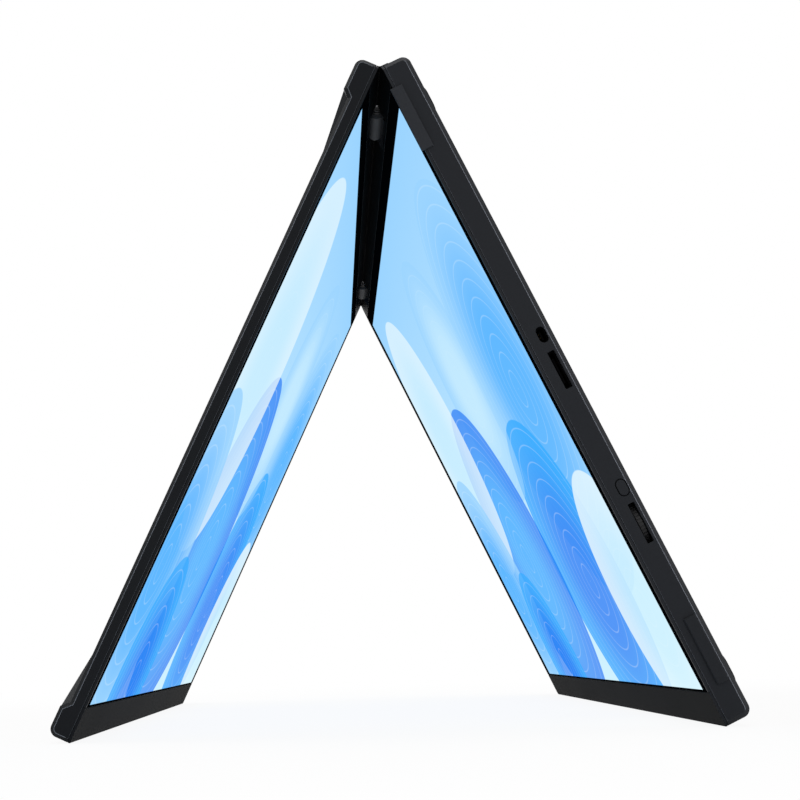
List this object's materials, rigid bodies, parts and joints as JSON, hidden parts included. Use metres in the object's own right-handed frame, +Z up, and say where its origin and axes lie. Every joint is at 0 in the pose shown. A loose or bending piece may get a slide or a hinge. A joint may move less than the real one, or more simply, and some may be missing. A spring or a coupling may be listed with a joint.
{
  "type": "stacked dual-screen monitor",
  "caption": "Portable dual-screen monitor standing as a tent: a thick main panel with ports, power button and scroll wheel, hinged along a long edge to a slim lid panel with a stepped back.",
  "frame": {"origin": "on the floor, in the middle of the outline", "axes": "+Z up, +Y along the hinge away from the side with the ports, +X towards the main panel"},
  "size_m": [0.1974, 0.3572, 0.2003],
  "materials": {
    "shell_grey": "dark grey anodised satin",
    "frame_black": "fine satin black",
    "screen_glass": "glossy cover glass with a black printed border",
    "display_stack": "laminated display and backlight tray",
    "chin_grey": "soft matt",
    "board_green": "solder-masked laminate",
    "socket_steel": "formed sheet",
    "inner_black": "moulded",
    "hinge_grey": "satin paint",
    "hinge_black": "satin black paint",
    "pin_steel": "ground",
    "seal_black": "extruded",
    "screw_steel": "blackened",
    "bumper_grey": "moulded matt",
    "foot_black": "moulded matt",
    "insert_brass": "turned",
    "cable_amber": "flat film",
    "control_grey": "satin",
    "control_black": "knurled"
  },
  "bodies": {
    "main_panel": {"main_rear_cover": "shell_grey", "main_front_frame": "frame_black", "main_screen_glass": "screen_glass", "main_lcd_module": "display_stack", "main_chin_strip": "chin_grey", "control_board": "board_green", "power_socket": "socket_steel", "video_socket": "socket_steel", "button_switch": "inner_black", "wheel_encoder": "inner_black", "speaker_near": "inner_black", "speaker_far": "inner_black", "hinge_barrel_near": "hinge_grey", "hinge_barrel_far": "hinge_grey", "hinge_pin_near": "pin_steel", "hinge_pin_far": "pin_steel", "friction_washers": "pin_steel", "hinge_seal": "seal_black", "main_hinge_screws": "screw_steel", "main_cover_screws": "screw_steel", "front_bumpers": "bumper_grey", "rear_bumpers": "bumper_grey", "rear_feet": "foot_black", "plate_inserts": "insert_brass", "main_display_cable": "cable_amber"},
    "lid_panel": {"lid_rear_cover": "shell_grey", "lid_front_frame": "frame_black", "lid_screen_glass": "screen_glass", "lid_lcd_module": "display_stack", "lid_chin_strip": "chin_grey", "lid_driver_board": "board_green", "lid_hinge_leaf_near": "hinge_black", "lid_hinge_leaf_far": "hinge_black", "lid_hinge_screws": "screw_steel", "lid_display_cable": "cable_amber"},
    "button": {"power_button": "control_grey"},
    "wheel": {"scroll_wheel": "control_black"}
  },
  "joints": [
    {"name": "fold", "type": "hinge", "parent": "main_panel", "child": "lid_panel", "pos_m": [-0.00082, 0, 0.19723], "axis": [0, 1, 0], "range_deg": [-50.1, 129.9]},
    {"name": "press", "type": "slide", "parent": "main_panel", "child": "button", "axis": [0, 1, 0], "range_m": [0, 0.0004], "stiffness_N_per_m": 3000},
    {"name": "roll", "type": "hinge", "parent": "main_panel", "child": "wheel", "pos_m": [0.07043, -0.1698, 0.058], "axis": [0.9059, 0, 0.4234], "continuous": true}
  ]
}
